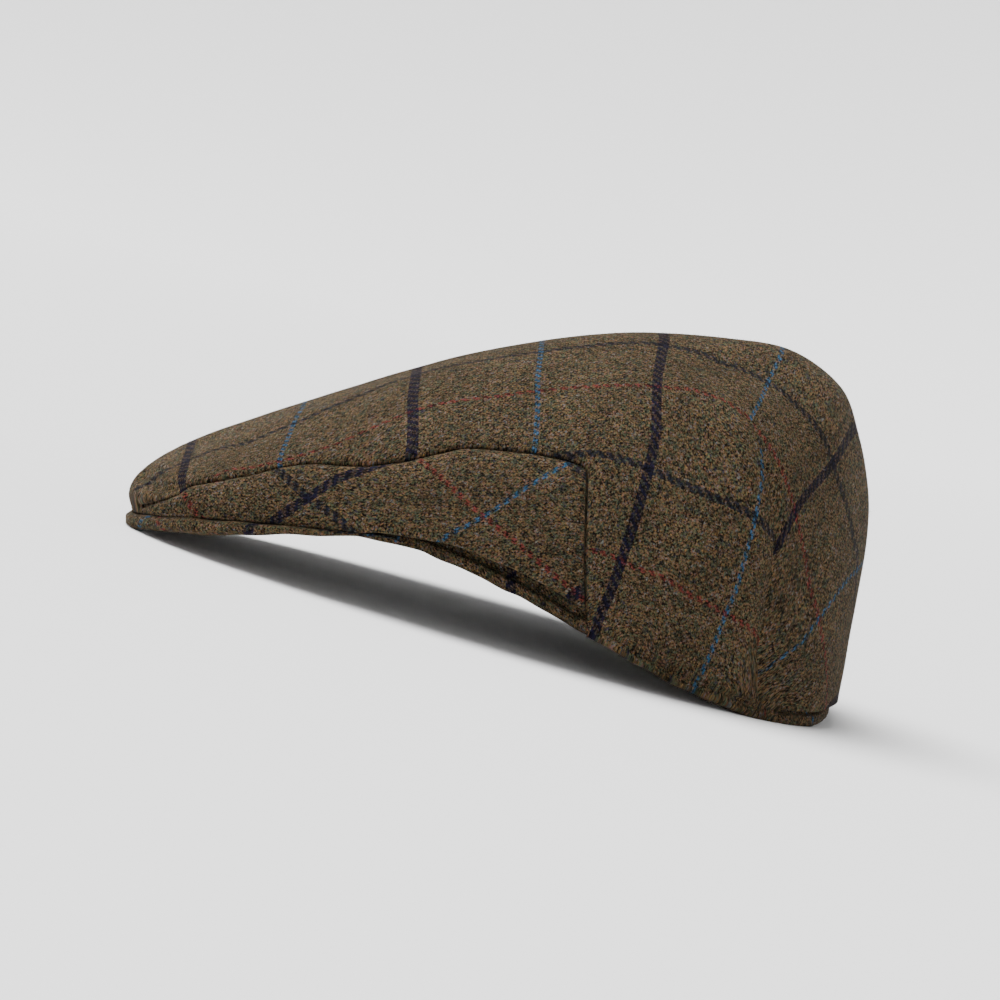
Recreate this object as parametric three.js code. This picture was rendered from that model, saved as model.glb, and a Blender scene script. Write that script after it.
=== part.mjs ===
// A tweed flat cap: a one-piece top panel with a dart at each back corner, two front side panels,
// a stiff peak covered in the same cloth and a turned band round the rim.
// Units are millimetres. The shape is worked out as the cap is worn, with its front towards -X,
// its left side towards -Y and the underside of the peak at height 0, and is then tipped forward
// until the lip of the peak and the back of the rim stand on the ground.

import * as THREE from "three";

// Crown
const frontReach = 169; // from the crown's middle to its front, above the lip of the peak
const backReach = 96; // from the crown's middle to its back
const halfWidth = 95; // from the crown's middle to its widest place
const crownRise = 69.8; // top of the crown above the underside of the peak
const rimDrop = 62.7; // depth of the rim at the back below the underside of the peak
const clothWall = 2; // one thickness of tweed with its canvas backing
const seamGap = 0.3; // clearance between two pieces of cloth that are sewn together
const seamDepth = 1; // how far a seam pulls the cloth in
const seamReach = 5; // how far from the seam the cloth is pulled in
const dartDepth = 2; // how far the dart at a back corner pulls the cloth in
const dartReach = 7;
const creaseDepth = 1.6; // the crease in the crown above the front end of a side panel
const creaseReach = 6;

// Peak
const peakThickness = 5.4;
const peakTipThickness = 2.2; // where the lip runs out at its sides
const lipProud = 2.4; // how far the lip stands out past the lower edge of the crown
const lipRound = 2.1; // rounding of the lip's edge
const padWidth = 3; // the strip of the lip's underside that is pressed flat on the ground

// Rim band
const bandHeight = 24;
const bandLean = 3; // how far the band's wall leans in at its top
const bandShows = 4.6; // height of the rolled edge that shows below the crown
const bandWall = 1.8;
const bandRound = 1.2; // rounding of the rolled edge

const footDepth = 0.9; // how much of the cloth is pressed flat where it rests

// Sections of the crown from the front round the left side to the back. along is a share of
// frontReach, or of backReach behind the middle, and across one of halfWidth: the section's
// widest point. Each control point has its out, a share of the way from the middle to that
// point, and its up, a share of the way from the peak's top to the crown's top, or below it
// of the way down to the rim at the back. seam is where the side panel's upper seam crosses the
// section, as a share of its length. inset is how far the rim band lies inside the crown's edge,
// as a share of the section's reach, and show one of bandShows.
const sections = [
  {
    along: 1, across: 0, seam: 1.1, inset: 0.315, show: 1,
    out: [0.29, 0.6, 0.9, 0.98, 1, 0.995],
    up: [0.872, 0.638, 0.349, 0.21, 0.11, 0],
  },
  {
    along: 0.965, across: 0.34, seam: 0.92, inset: 0.3, show: 1,
    out: [0.3, 0.6, 0.88, 0.975, 1, 0.995],
    up: [0.86, 0.636, 0.34, 0.2, 0.1, 0],
  },
  {
    along: 0.83, across: 0.62, seam: 0.67, inset: 0.21, show: 1,
    out: [0.3, 0.6, 0.88, 0.97, 1, 0.99],
    up: [0.875, 0.668, 0.371, 0.215, 0.106, 0],
  },
  {
    along: 0.62, across: 0.82, seam: 0.592, inset: 0.09, show: 0.3,
    out: [0.3, 0.6, 0.87, 0.965, 1, 0.985],
    up: [0.894, 0.696, 0.418, 0.246, 0.067, -0.02],
  },
  {
    along: 0.36, across: 0.945, seam: 0.517, inset: 0.02, show: 1,
    out: [0.3, 0.6, 0.86, 0.965, 1, 0.96],
    up: [0.914, 0.714, 0.418, 0.176, -0.018, -0.089],
  },
  {
    along: 0, across: 1, seam: 0.507, inset: 0, show: 1.1,
    out: [0.3, 0.6, 0.85, 0.965, 1, 0.93],
    up: [0.933, 0.73, 0.371, 0.044, -0.23, -0.47],
  },
  {
    along: -0.32, across: 0.955, seam: 0.5, inset: 0, show: 1,
    out: [0.3, 0.6, 0.85, 0.965, 1, 0.925],
    up: [0.949, 0.753, 0.363, 0.004, -0.303, -0.71],
  },
  {
    along: -0.69, across: 0.76, seam: 0.5, inset: 0, show: 1,
    out: [0.3, 0.6, 0.85, 0.965, 1.01, 0.925],
    up: [0.972, 0.82, 0.605, 0.348, -0.083, -0.93],
  },
  {
    along: -0.87, across: 0.55, seam: 0.5, inset: 0.02, show: 1,
    out: [0.33, 0.66, 0.89, 0.97, 1, 0.93],
    up: [0.98, 0.85, 0.58, 0.254, -0.2, -0.985],
  },
  {
    along: -0.965, across: 0.28, seam: 0.5, inset: 0.035, show: 1,
    out: [0.34, 0.68, 0.9, 0.97, 1, 0.915],
    up: [0.992, 0.912, 0.69, 0.363, -0.083, -0.985],
  },
  {
    along: -1, across: 0, seam: 0.5, inset: 0.04, show: 1,
    out: [0.35, 0.7, 0.9, 0.97, 1, 0.9],
    up: [0.994, 0.925, 0.708, 0.418, 0.005, -0.985],
  },
];
const panelStart = 0.74; // section, counted from 0 at the front, where a side panel begins
const panelEnd = 5; // section where it ends
const peakTaper = 2; // section where the peak starts to thin
const peakEnd = 3.4; // section where its lip runs out
const dartAt = 7; // section of the dart
const dartTop = 0.42; // where along its section the dart begins
const dartFull = 0.7; // where it has its full depth
const crease = { at: 1.2, along: 0.66, wide: 0.5 }; // place and half length of the crease

const half = sections.length - 1; // sections from the front to the back
const seat = peakThickness + seamGap; // where the crown's front edge lies on the peak

// One section's control points in millimetres, from its first one outwards
function controlPoints(section, side) {
  const reach = section.along > 0 ? frontReach : backReach;
  const x = -section.along * reach;
  const y = side * section.across * halfWidth;
  return section.out.map((out, i) => {
    const up = section.up[i];
    const height = seat + up * (up > 0 ? crownRise - seat : rimDrop + seat);
    return new THREE.Vector3(x * out, y * out, height);
  });
}

// All sections round the cap, the left ones from the front to the back and then the right ones
const ring = [];
for (let i = 0; i < 2 * half; i += 1) {
  const section = sections[i <= half ? i : 2 * half - i];
  ring.push({ ...section, points: controlPoints(section, i <= half ? -1 : 1) });
}

// The cloth's lengthwise lines: each control point followed round the cap
const girths = ring[0].points.map(
  (_, k) => new THREE.CatmullRomCurve3(ring.map((section) => section.points[k]), true),
);
const apex = new THREE.Vector3(0, 0, crownRise);

function wrap(at) {
  return (((at / (2 * half)) % 1) + 1) % 1;
}

// The crown's section at any place round the cap, from the opposite edge over the apex
const sectionCache = new Map();
function sectionCurve(at) {
  const key = wrap(at).toFixed(6);
  if (!sectionCache.has(key)) {
    const near = girths.map((girth) => girth.getPoint(wrap(at)));
    const far = girths.map((girth) => girth.getPoint(wrap(at + half)));
    sectionCache.set(key, new THREE.CatmullRomCurve3([...far.reverse(), apex, ...near]));
  }
  return sectionCache.get(key);
}

// A number of the sections' table at any place round the cap
const traitNames = ["seam", "inset", "show"];
const traits = new THREE.CatmullRomCurve3(
  ring.map((section) => new THREE.Vector3(...traitNames.map((name) => section[name]))),
  true,
  "catmullrom",
);
function trait(name, at) {
  return traits.getPoint(wrap(at)).getComponent(traitNames.indexOf(name));
}

// Place counted from the front along the nearer side, so that both sides are alike
function mirrored(at) {
  const place = wrap(at) * 2 * half;
  return place > half ? 2 * half - place : place;
}

function smoothCloth(at, down) {
  return sectionCurve(at).getPoint((1 + down) / 2);
}

function dip(distance, reach) {
  return Math.exp(-((distance / reach) ** 2));
}

// How far seams, darts and the crease pull the cloth in
function pull(at, down) {
  const place = mirrored(at);
  const side = wrap(at) < 0.5 ? 1 : -1;
  const here = smoothCloth(at, down);
  const seam = trait("seam", at);
  const toSeam = here.distanceTo(smoothCloth(at, Math.min(seam, 1)));
  const toEnd = here.distanceTo(smoothCloth(side * panelEnd, down));
  const toDart = here.distanceTo(smoothCloth(side * dartAt, down));
  const toCrease = here.distanceTo(smoothCloth(at, crease.along));
  const upperSeam = place > panelStart && place < panelEnd ? dip(toSeam, seamReach) : 0;
  const endSeam = down > seam ? dip(toEnd, seamReach) : 0;
  const dart = dip(toDart, dartReach) * THREE.MathUtils.smoothstep(down, dartTop, dartFull);
  const fold = dip(toCrease, creaseReach) * dip(place - crease.at, crease.wide);
  return seamDepth * Math.max(upperSeam, endSeam) + dartDepth * dart + creaseDepth * fold;
}

const probe = 0.004; // step for the cloth's directions

// The outside and the inside of the cloth at a place round the cap and a share down its section
function clothPoint(at, down) {
  const inside = THREE.MathUtils.clamp(down, 2 * probe, 1 - probe);
  const roundwards = smoothCloth(at + probe, inside).sub(smoothCloth(at - probe, inside));
  const downwards = smoothCloth(at, inside + probe).sub(smoothCloth(at, inside - probe));
  const normal = downwards.cross(roundwards).normalize();
  if (down < probe) {
    normal.set(0, 0, 1);
  }
  const outer = smoothCloth(at, down).addScaledVector(normal, -pull(at, down));
  return { outer, inner: outer.clone().addScaledVector(normal, -clothWall) };
}

function steps(from, to, count) {
  return Array.from({ length: count + 1 }, (_, i) => from + ((to - from) * i) / count);
}

// Two triangles over four corners, split along the shorter diagonal
function halves(points, [a, b, c, d]) {
  const straight = points[a].distanceTo(points[c]) < points[b].distanceTo(points[d]);
  return straight ? [[a, b, c], [a, c, d]] : [[b, c, d], [b, d, a]];
}

// Closed body of one cloth wall over patches, each a grid of cloth points that may share an edge
function thicken(patches) {
  const outer = [];
  const inner = [];
  const known = new Map();
  function indexOf(cloth) {
    const key = cloth.outer.toArray().map((value) => value.toFixed(3)).join();
    if (!known.has(key)) {
      known.set(key, outer.length);
      outer.push(cloth.outer);
      inner.push(cloth.inner);
    }
    return known.get(key);
  }
  const faces = [];
  for (const columns of patches) {
    const grid = columns.map((column) => column.map(indexOf));
    for (let i = 0; i + 1 < grid.length; i += 1) {
      for (let j = 0; j + 1 < grid[i].length; j += 1) {
        const corners = [grid[i][j], grid[i][j + 1], grid[i + 1][j + 1], grid[i + 1][j]];
        faces.push(...halves(outer, corners));
      }
    }
  }
  const skin = faces.filter(([a, b, c]) => a !== b && b !== c && c !== a);
  const edges = new Map();
  for (const [a, b, c] of skin) {
    edges.set(`${a} ${b}`, [a, b]).set(`${b} ${c}`, [b, c]).set(`${c} ${a}`, [c, a]);
  }
  const points = [...outer, ...inner];
  const count = outer.length;
  const walls = [...edges.values()]
    .filter(([a, b]) => !edges.has(`${b} ${a}`))
    .flatMap(([a, b]) => halves(points, [b, a, a + count, b + count]));
  const lining = skin.map(([a, b, c]) => [c + count, b + count, a + count]);
  return { points, faces: [...skin, ...walls, ...lining] };
}

// Closed body through rings of points, joined end to end or with a cap at each end, which
// takes rings without a hollow
function loft(rings, joined) {
  const size = rings[0].length;
  const faces = [];
  const spans = joined ? rings.length : rings.length - 1;
  for (let i = 0; i < spans; i += 1) {
    const near = i * size;
    const far = ((i + 1) % rings.length) * size;
    for (let j = 0; j < size; j += 1) {
      const next = (j + 1) % size;
      faces.push([near + j, far + j, far + next], [near + j, far + next, near + next]);
    }
  }
  if (!joined) {
    const last = (rings.length - 1) * size;
    for (let j = 1; j + 1 < size; j += 1) {
      faces.push([0, j, j + 1], [last, last + j + 1, last + j]);
    }
  }
  return { points: rings.flat(), faces };
}

// Half of a seam's clearance, square to the seam, as a share of the section or in sections
function gapDown(at) {
  const seam = trait("seam", at);
  const downwards = smoothCloth(at, seam).sub(smoothCloth(at, seam - probe));
  const ahead = smoothCloth(at + probe, Math.min(trait("seam", at + probe), 1));
  const behind = smoothCloth(at - probe, Math.min(trait("seam", at - probe), 1));
  const along = ahead.sub(behind).normalize();
  return ((seamGap / 2) * probe) / downwards.cross(along).length();
}
function gapRound(at, down) {
  const step = smoothCloth(at + probe, down).distanceTo(smoothCloth(at - probe, down));
  return (seamGap * probe) / step;
}

const columnsPerSection = 4;
const upperRows = 9; // rows of faces in the crown above the side panels' seam
const lowerRows = 7; // rows of faces below it
const crowding = 1.3; // how much closer the rows lie beside the seam

function column(at, from, to, rows, crowdedEnd) {
  return steps(0, 1, rows).map((share) => {
    const crowded = crowdedEnd ? 1 - (1 - share) ** crowding : share ** crowding;
    return clothPoint(at, THREE.MathUtils.lerp(from, to, crowded));
  });
}

// Places of the columns round the cap, in front of the side panels' back ends and behind them
const corner = panelEnd + gapRound(panelEnd, 0.8);
const frontPlaces = steps(-corner, corner, 2 * panelEnd * columnsPerSection);
const backPlaces = steps(corner, 2 * half - corner, 2 * (half - panelEnd) * columnsPerSection);

function crownBody() {
  const upper = [...frontPlaces, ...backPlaces.slice(1)].map((at) => {
    const place = mirrored(at);
    const onPanel = place > panelStart && place < panelEnd;
    const seam = onPanel ? trait("seam", at) - gapDown(at) : trait("seam", at);
    return column(at, 0, place < panelStart ? 1 : seam, upperRows, true);
  });
  const lower = backPlaces.map((at) => column(at, trait("seam", at), 1, lowerRows, false));
  return thicken([upper, lower]);
}

function sidePanelBody(side) {
  const from = panelStart + gapRound(panelStart, 1);
  const to = panelEnd - gapRound(panelEnd, 0.8);
  const places = [from, ...frontPlaces.filter((at) => at > from && at < to), to];
  const columns = places.map((at) => {
    return column(side * at, trait("seam", at) + gapDown(at), 1, lowerRows, false);
  });
  return thicken([side > 0 ? columns : columns.reverse()]);
}

// Point of a plan curve moved level to the right of the curve's way round, out from the cap
function movedOut(curve, at, distance) {
  const way = curve(at + probe).sub(curve(at - probe)).setZ(0).normalize();
  return curve(at).addScaledVector(new THREE.Vector3(-way.y, way.x, 0), -distance);
}

function edgeLine(at) {
  return clothPoint(at, 1).outer;
}

function bandLine(at) {
  const share = 1 - trait("inset", at);
  const line = edgeLine(at).multiply(new THREE.Vector3(share, share, 1));
  return line.setZ(line.z - bandShows * trait("show", at));
}

const rollOut = clothWall + seamGap; // how far the rolled edge stands out from the band's wall

// The band's section, as lengths out from the wall's outside and up from the lower edge
function bandSection(at) {
  const roll = bandShows * trait("show", at) - seamGap;
  const round = Math.min(bandRound, roll / 2.5);
  return [
    [rollOut - round, 0],
    [rollOut, round],
    [rollOut, roll - round / 2],
    [rollOut - round / 2, roll],
    [0, roll],
    [-bandLean, bandHeight],
    [-bandLean - bandWall, bandHeight],
    [-bandWall, round],
    [-bandWall + round, 0],
  ];
}

function bandBody() {
  const rings = [...frontPlaces, ...backPlaces.slice(1, -1)].map((at) => {
    return bandSection(at).map(([out, up]) => {
      const point = movedOut(bandLine, at, out - rollOut);
      return point.setZ(point.z + up);
    });
  });
  return loft(rings, true);
}

// The peak's section at one place, from the band along the underside, round the lip and back
function peakSection(at) {
  const thinning = THREE.MathUtils.smoothstep(Math.abs(at), peakTaper, peakEnd);
  const thickness = THREE.MathUtils.lerp(peakThickness, peakTipThickness, thinning);
  const round = Math.min(lipRound, thickness / 2.5);
  const lip = movedOut(edgeLine, at, lipProud);
  const inner = movedOut(bandLine, at, seamGap);
  const top = edgeLine(at).z - seamGap;
  const back = inner.clone().sub(lip).setZ(0);
  const width = back.length();
  return [
    [width, thickness], [round + padWidth, thickness], [round, thickness],
    [0, thickness - round], [0, round], [round, 0], [width, 0],
  ].map(([along, below]) => {
    return lip.clone().addScaledVector(back, along / width).setZ(top - below);
  });
}

function peakBody() {
  const places = frontPlaces.filter((at) => Math.abs(at) < peakEnd);
  return loft(places.map(peakSection), false);
}

// Lowest height of some points when the cap is tipped forward by an angle
function lowest(points, tilt) {
  return Math.min(...points.map(({ x, z }) => x * Math.sin(tilt) + z * Math.cos(tilt)));
}

// The angle that sets the lip of the peak and the back of the rim on level ground
function groundTilt(frontPoints, backPoints) {
  let [low, high] = [0, Math.PI / 4];
  for (let i = 0; i < 40; i += 1) {
    const middle = (low + high) / 2;
    if (lowest(frontPoints, middle) > lowest(backPoints, middle)) {
      low = middle;
    } else {
      high = middle;
    }
  }
  return low;
}

const bodies = {
  crown: crownBody(),
  side_panel_left: sidePanelBody(1),
  side_panel_right: sidePanelBody(-1),
  peak: peakBody(),
  rim_band: bandBody(),
};
const tilt = groundTilt(bodies.peak.points, bodies.rim_band.points);
const ground = lowest(bodies.peak.points, tilt) + footDepth;

// Tips a point forward and presses it flat where it would reach below the ground
function rest({ x, z, y }) {
  const height = x * Math.sin(tilt) + z * Math.cos(tilt) - ground;
  return new THREE.Vector3(x * Math.cos(tilt) - z * Math.sin(tilt), y, Math.max(height, 0));
}

function clothMaterial(color) {
  return new THREE.MeshStandardMaterial({ color, roughness: 0.95, metalness: 0 });
}
const materials = {
  crown: clothMaterial(0x5d4e3d),
  side_panel_left: clothMaterial(0x4b423b),
  side_panel_right: clothMaterial(0x4b423b),
  peak: clothMaterial(0x52463b),
  rim_band: clothMaterial(0x41382f),
};

const cap = new THREE.Group();
for (const [name, { points, faces }] of Object.entries(bodies)) {
  const geometry = new THREE.BufferGeometry().setFromPoints(points.map(rest));
  geometry.setIndex(faces.flat());
  geometry.computeVertexNormals();
  const mesh = new THREE.Mesh(geometry, materials[name]);
  mesh.name = name;
  cap.add(mesh);
}

// The origin is on the ground under the middle of the cap
const box = new THREE.Box3().setFromObject(cap);
cap.position.set(-(box.min.x + box.max.x) / 2, -(box.min.y + box.max.y) / 2, -box.min.z);

export default cap;
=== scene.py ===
import math

import bmesh
import bpy
import numpy as np
from mathutils import Matrix, Vector


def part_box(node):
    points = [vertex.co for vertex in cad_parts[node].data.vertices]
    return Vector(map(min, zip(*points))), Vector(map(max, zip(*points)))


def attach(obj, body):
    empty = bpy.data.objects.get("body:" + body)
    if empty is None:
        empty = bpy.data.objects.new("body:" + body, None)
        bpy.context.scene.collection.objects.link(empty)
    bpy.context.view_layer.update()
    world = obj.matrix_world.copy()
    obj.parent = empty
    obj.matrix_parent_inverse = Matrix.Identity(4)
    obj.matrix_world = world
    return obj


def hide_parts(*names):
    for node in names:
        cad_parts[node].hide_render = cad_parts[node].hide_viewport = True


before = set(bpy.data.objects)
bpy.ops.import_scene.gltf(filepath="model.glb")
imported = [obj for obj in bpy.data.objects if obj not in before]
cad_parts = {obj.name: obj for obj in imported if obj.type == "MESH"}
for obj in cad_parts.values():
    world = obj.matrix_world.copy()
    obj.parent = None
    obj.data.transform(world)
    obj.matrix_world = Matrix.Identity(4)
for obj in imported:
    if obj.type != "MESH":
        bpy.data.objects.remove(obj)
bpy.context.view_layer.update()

# Sizes in millimetres, as the cap is worn: front towards -X, left side towards -Y, and the
# underside of the peak at height 0
FRONT_REACH = 169
BACK_REACH = 96
HALF_WIDTH = 95
CROWN_RISE = 69.8
RIM_DROP = 62.7
CLOTH_WALL = 2
SEAM_GAP = 0.3
PEAK_THICKNESS = 5.4
PEAK_TIP_THICKNESS = 2.2
LIP_PROUD = 2.4
LIP_ROUND = 2.1
BAND_HEIGHT = 24
BAND_LEAN = 3
BAND_SHOWS = 4.6
BAND_WALL = 1.8
TILT = math.radians(15.406)  # how far the cap is tipped forward where it rests

# Sections of the crown from the front round the left side to the back, as shares of the sizes:
# how far along and across the section reaches, where the upper seam crosses it, how far the band
# is set in, how much of the band shows, and the cloth's reach outwards and height down the section
SECTIONS = [
    (1, 0, 1.1, 0.315, 1, (0.29, 0.6, 0.9, 0.98, 1, 0.995),
     (0.872, 0.638, 0.349, 0.21, 0.11, 0)),
    (0.965, 0.34, 0.92, 0.3, 1, (0.3, 0.6, 0.88, 0.975, 1, 0.995),
     (0.86, 0.636, 0.34, 0.2, 0.1, 0)),
    (0.83, 0.62, 0.67, 0.21, 1, (0.3, 0.6, 0.88, 0.97, 1, 0.99),
     (0.875, 0.668, 0.371, 0.215, 0.106, 0)),
    (0.62, 0.82, 0.592, 0.09, 0.3, (0.3, 0.6, 0.87, 0.965, 1, 0.985),
     (0.894, 0.696, 0.418, 0.246, 0.067, -0.02)),
    (0.36, 0.945, 0.517, 0.02, 1, (0.3, 0.6, 0.86, 0.965, 1, 0.96),
     (0.914, 0.714, 0.418, 0.176, -0.018, -0.089)),
    (0, 1, 0.507, 0, 1.1, (0.3, 0.6, 0.85, 0.965, 1, 0.93),
     (0.933, 0.73, 0.371, 0.044, -0.23, -0.47)),
    (-0.32, 0.955, 0.5, 0, 1, (0.3, 0.6, 0.85, 0.965, 1, 0.925),
     (0.949, 0.753, 0.363, 0.004, -0.303, -0.71)),
    (-0.69, 0.76, 0.5, 0, 1, (0.3, 0.6, 0.85, 0.965, 1.01, 0.925),
     (0.972, 0.82, 0.605, 0.348, -0.083, -0.93)),
    (-0.87, 0.55, 0.5, 0.02, 1, (0.33, 0.66, 0.89, 0.97, 1, 0.93),
     (0.98, 0.85, 0.58, 0.254, -0.2, -0.985)),
    (-0.965, 0.28, 0.5, 0.035, 1, (0.34, 0.68, 0.9, 0.97, 1, 0.915),
     (0.992, 0.912, 0.69, 0.363, -0.083, -0.985)),
    (-1, 0, 0.5, 0.04, 1, (0.35, 0.7, 0.9, 0.97, 1, 0.9),
     (0.994, 0.925, 0.708, 0.418, 0.005, -0.985)),
]
HALF = len(SECTIONS) - 1
PANEL_END = 5  # section, counted from 0 at the front, where a side panel ends
DART_AT = 7
PEAK_TAPER = 2  # section where the peak starts to thin
PEAK_END = 3.4
SEAT = PEAK_THICKNESS + SEAM_GAP
PROBE = 0.004  # small step, in sections or in shares down, for finding a slope

# The camera of the picture, which shows the cap tilted as it is worn
PICTURE_SIZE = 1000  # pixels
PICTURE_SCALE = 0.36  # millimetres to a pixel
PICTURE_DISTANCE = 1600
PICTURE_AZIMUTH = math.radians(4)
PICTURE_ELEVATION = math.radians(3)
PICTURE_TILT = math.radians(15.7)
PICTURE_ORIGIN = (599.2, 527.8)  # pixel of the crown's middle at the height of the peak's underside


# Curves

def smoothstep(x, low, high):
    t = np.clip((x - low) / (high - low), 0, 1)
    return t * t * (3 - 2 * t)


def bump(distance, reach):
    return np.exp(-((distance / reach) ** 2))


def spline(points, share, closed=False, even=False):
    """Catmull-Rom curves, one a row of points, at each row's own shares. The curves are
    centripetal, or uniform where even is set."""
    rows, count, _ = points.shape
    row = np.arange(rows)[:, None]
    if closed:
        place = np.mod(share, 1) * count
        first = np.minimum(np.floor(place).astype(int), count - 1)
        picked = [points[row, (first + k) % count] for k in (-1, 0, 1, 2)]
    else:
        place = np.clip(share, 0, 1) * (count - 1)
        first = np.minimum(np.floor(place).astype(int), count - 2)
        before = 2 * points[:, :1] - points[:, 1:2]
        after = 2 * points[:, -1:] - points[:, -2:-1]
        padded = np.concatenate([before, points, after], axis=1)
        picked = [padded[row, first + k] for k in range(4)]
    p0, p1, p2, p3 = picked
    w = (place - first)[..., None]
    if even:
        t1 = 0.5 * (p2 - p0)
        t2 = 0.5 * (p3 - p1)
    else:
        d0, d1, d2 = (
            np.sqrt(np.linalg.norm(b - a, axis=-1, keepdims=True))
            for a, b in ((p0, p1), (p1, p2), (p2, p3))
        )
        d1 = np.where(d1 < 1e-4, 1, d1)
        d0 = np.where(d0 < 1e-4, d1, d0)
        d2 = np.where(d2 < 1e-4, d1, d2)
        t1 = ((p1 - p0) / d0 - (p2 - p0) / (d0 + d1) + (p2 - p1) / d1) * d1
        t2 = ((p2 - p1) / d1 - (p3 - p1) / (d1 + d2) + (p3 - p2) / d2) * d1
    c2 = 3 * (p2 - p1) - 2 * t1 - t2
    c3 = 2 * (p1 - p2) + t1 + t2
    return p1 + w * (t1 + w * (c2 + w * c3))


def control_points(section, side):
    along, across, *_, out, up = section
    reach = FRONT_REACH if along > 0 else BACK_REACH
    out = np.array(out)
    up = np.array(up)
    height = SEAT + up * np.where(up > 0, CROWN_RISE - SEAT, RIM_DROP + SEAT)
    return np.stack([-along * reach * out, side * across * HALF_WIDTH * out, height], axis=1)


def ring_section(i):
    return SECTIONS[i if i <= HALF else 2 * HALF - i]


RING = np.array(
    [control_points(ring_section(i), -1 if i <= HALF else 1) for i in range(2 * HALF)]
)
TRAITS = np.array([[ring_section(i)[2:5] for i in range(2 * HALF)]], float)
APEX = np.array([0, 0, CROWN_RISE], float)


def wrap(at):
    return np.mod(np.asarray(at, float) / (2 * HALF), 1)


def mirrored(at):
    place = wrap(at) * 2 * HALF
    return np.where(place > HALF, 2 * HALF - place, place)


def trait(name, at):
    column = ("seam", "inset", "show").index(name)
    share = wrap(at).reshape(1, -1)
    return spline(TRAITS, share, closed=True, even=True)[0, :, column].reshape(np.shape(at))


def girth_points(at):
    girths = RING.transpose(1, 0, 2)
    share = np.broadcast_to(wrap(at), (girths.shape[0], len(at)))
    return spline(girths, share, closed=True).transpose(1, 0, 2)


def smooth_cloth(at, down):
    """Points of the cloth for shares down the section. A place round the cap goes with each row
    of shares, or with each share."""
    at = np.asarray(at, float)
    if at.ndim == 2:
        return smooth_cloth(at.ravel(), down.reshape(-1, 1)).reshape(*down.shape, 3)
    near = girth_points(at)
    far = girth_points(np.asarray(at) + HALF)[:, ::-1]
    apex = np.broadcast_to(APEX, (len(at), 1, 3))
    return spline(np.concatenate([far, apex, near], axis=1), (1 + down) / 2)


def cloth_normal(at, down):
    inside = np.clip(down, 2 * PROBE, 1 - PROBE)
    at = np.asarray(at, float)
    round_way = smooth_cloth(at + PROBE, inside) - smooth_cloth(at - PROBE, inside)
    down_way = smooth_cloth(at, inside + PROBE) - smooth_cloth(at, inside - PROBE)
    normal = np.cross(down_way, round_way)
    normal /= np.linalg.norm(normal, axis=-1, keepdims=True)
    normal[down < PROBE] = (0, 0, 1)
    return normal


# The picture's view of the cap

EYE = np.array([
    math.sin(PICTURE_AZIMUTH) * math.cos(PICTURE_ELEVATION),
    -math.cos(PICTURE_AZIMUTH) * math.cos(PICTURE_ELEVATION),
    math.sin(PICTURE_ELEVATION),
])
RIGHT = np.array([math.cos(PICTURE_AZIMUTH), math.sin(PICTURE_AZIMUTH), 0])
UP = np.cross(RIGHT, -EYE)


def in_picture(points):
    depth = PICTURE_DISTANCE - points @ EYE
    scale = PICTURE_DISTANCE / depth / PICTURE_SCALE
    return np.stack([
        PICTURE_ORIGIN[0] + (points @ RIGHT) * scale,
        PICTURE_ORIGIN[1] - (points @ UP) * scale,
    ], axis=-1)


# Places on the left half of the cloth that the picture shows, for finding a pixel's place
seen_at = np.linspace(0, HALF, 401)
seen_down = np.broadcast_to(np.linspace(0.01, 1, 260), (401, 260))
seen_points = smooth_cloth(seen_at, seen_down)
seen_facing = cloth_normal(seen_at, seen_down) @ EYE > 0
SEEN = seen_points[seen_facing]
SEEN_PLACES = np.stack(
    [np.broadcast_to(seen_at[:, None], seen_down.shape), seen_down], axis=-1
)[seen_facing]
SEEN_PIXELS = in_picture(SEEN)


def nearest_seen(x, y):
    return np.argmin(np.hypot(SEEN_PIXELS[:, 0] - x, SEEN_PIXELS[:, 1] - y))


def under_pixel(x, y):
    return SEEN[nearest_seen(x, y)]


def under_pixel_place(x, y):
    return SEEN_PLACES[nearest_seen(x, y)]


# The upper seam of the left side panel, in pixels of the picture
SEAM_PIXELS = [
    (138, 509), (150, 505), (163, 500), (175, 494), (186, 487), (205, 481), (229, 477), (253, 472),
    (274, 466), (292, 462), (310, 461), (339, 463), (365, 464), (395, 460), (412, 456), (430, 450),
    (457, 446), (488, 446), (519, 450), (549, 455), (567, 459), (578, 465), (585, 474),
]


def seam_line():
    """The seam's places round the cap and shares down, found under its pixels."""
    found = np.array([under_pixel_place(x, y) for x, y in SEAM_PIXELS])
    found = found[np.argsort(found[:, 0])]
    found[-1, 0] = max(found[-1, 0], PANEL_END)
    return found


# The left side panel's lower edge, in pixels of the picture, where it clears the band
PANEL_EDGE_PIXELS = [
    (380, 529), (395, 531), (420, 536), (440, 540), (463, 547), (481, 553), (506, 564), (522, 571),
    (539, 581), (554, 590), (564, 598), (579, 609),
]
PANEL_END_SHARE = 0.985
edge_places = np.array([under_pixel_place(x, y) for x, y in PANEL_EDGE_PIXELS])
EDGE_LINE = edge_places[np.argsort(edge_places[:, 0])]


def panel_edge(at):
    """Share down the section where a side panel ends."""
    place = mirrored(at)
    drawn = np.interp(place, EDGE_LINE[:, 0], EDGE_LINE[:, 1])
    first, last = EDGE_LINE[0, 0], EDGE_LINE[-1, 0]
    beside = 1 - smoothstep(place, first - 0.3, first) + smoothstep(place, last, PANEL_END)
    return np.minimum(drawn + (1 - drawn) * np.minimum(beside, 1), PANEL_END_SHARE)


SEAM_LINE = seam_line()
SEAM_STEPS = np.linspace(0, 1, len(SEAM_LINE))
PANEL_START = float(SEAM_LINE[0, 0])

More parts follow.
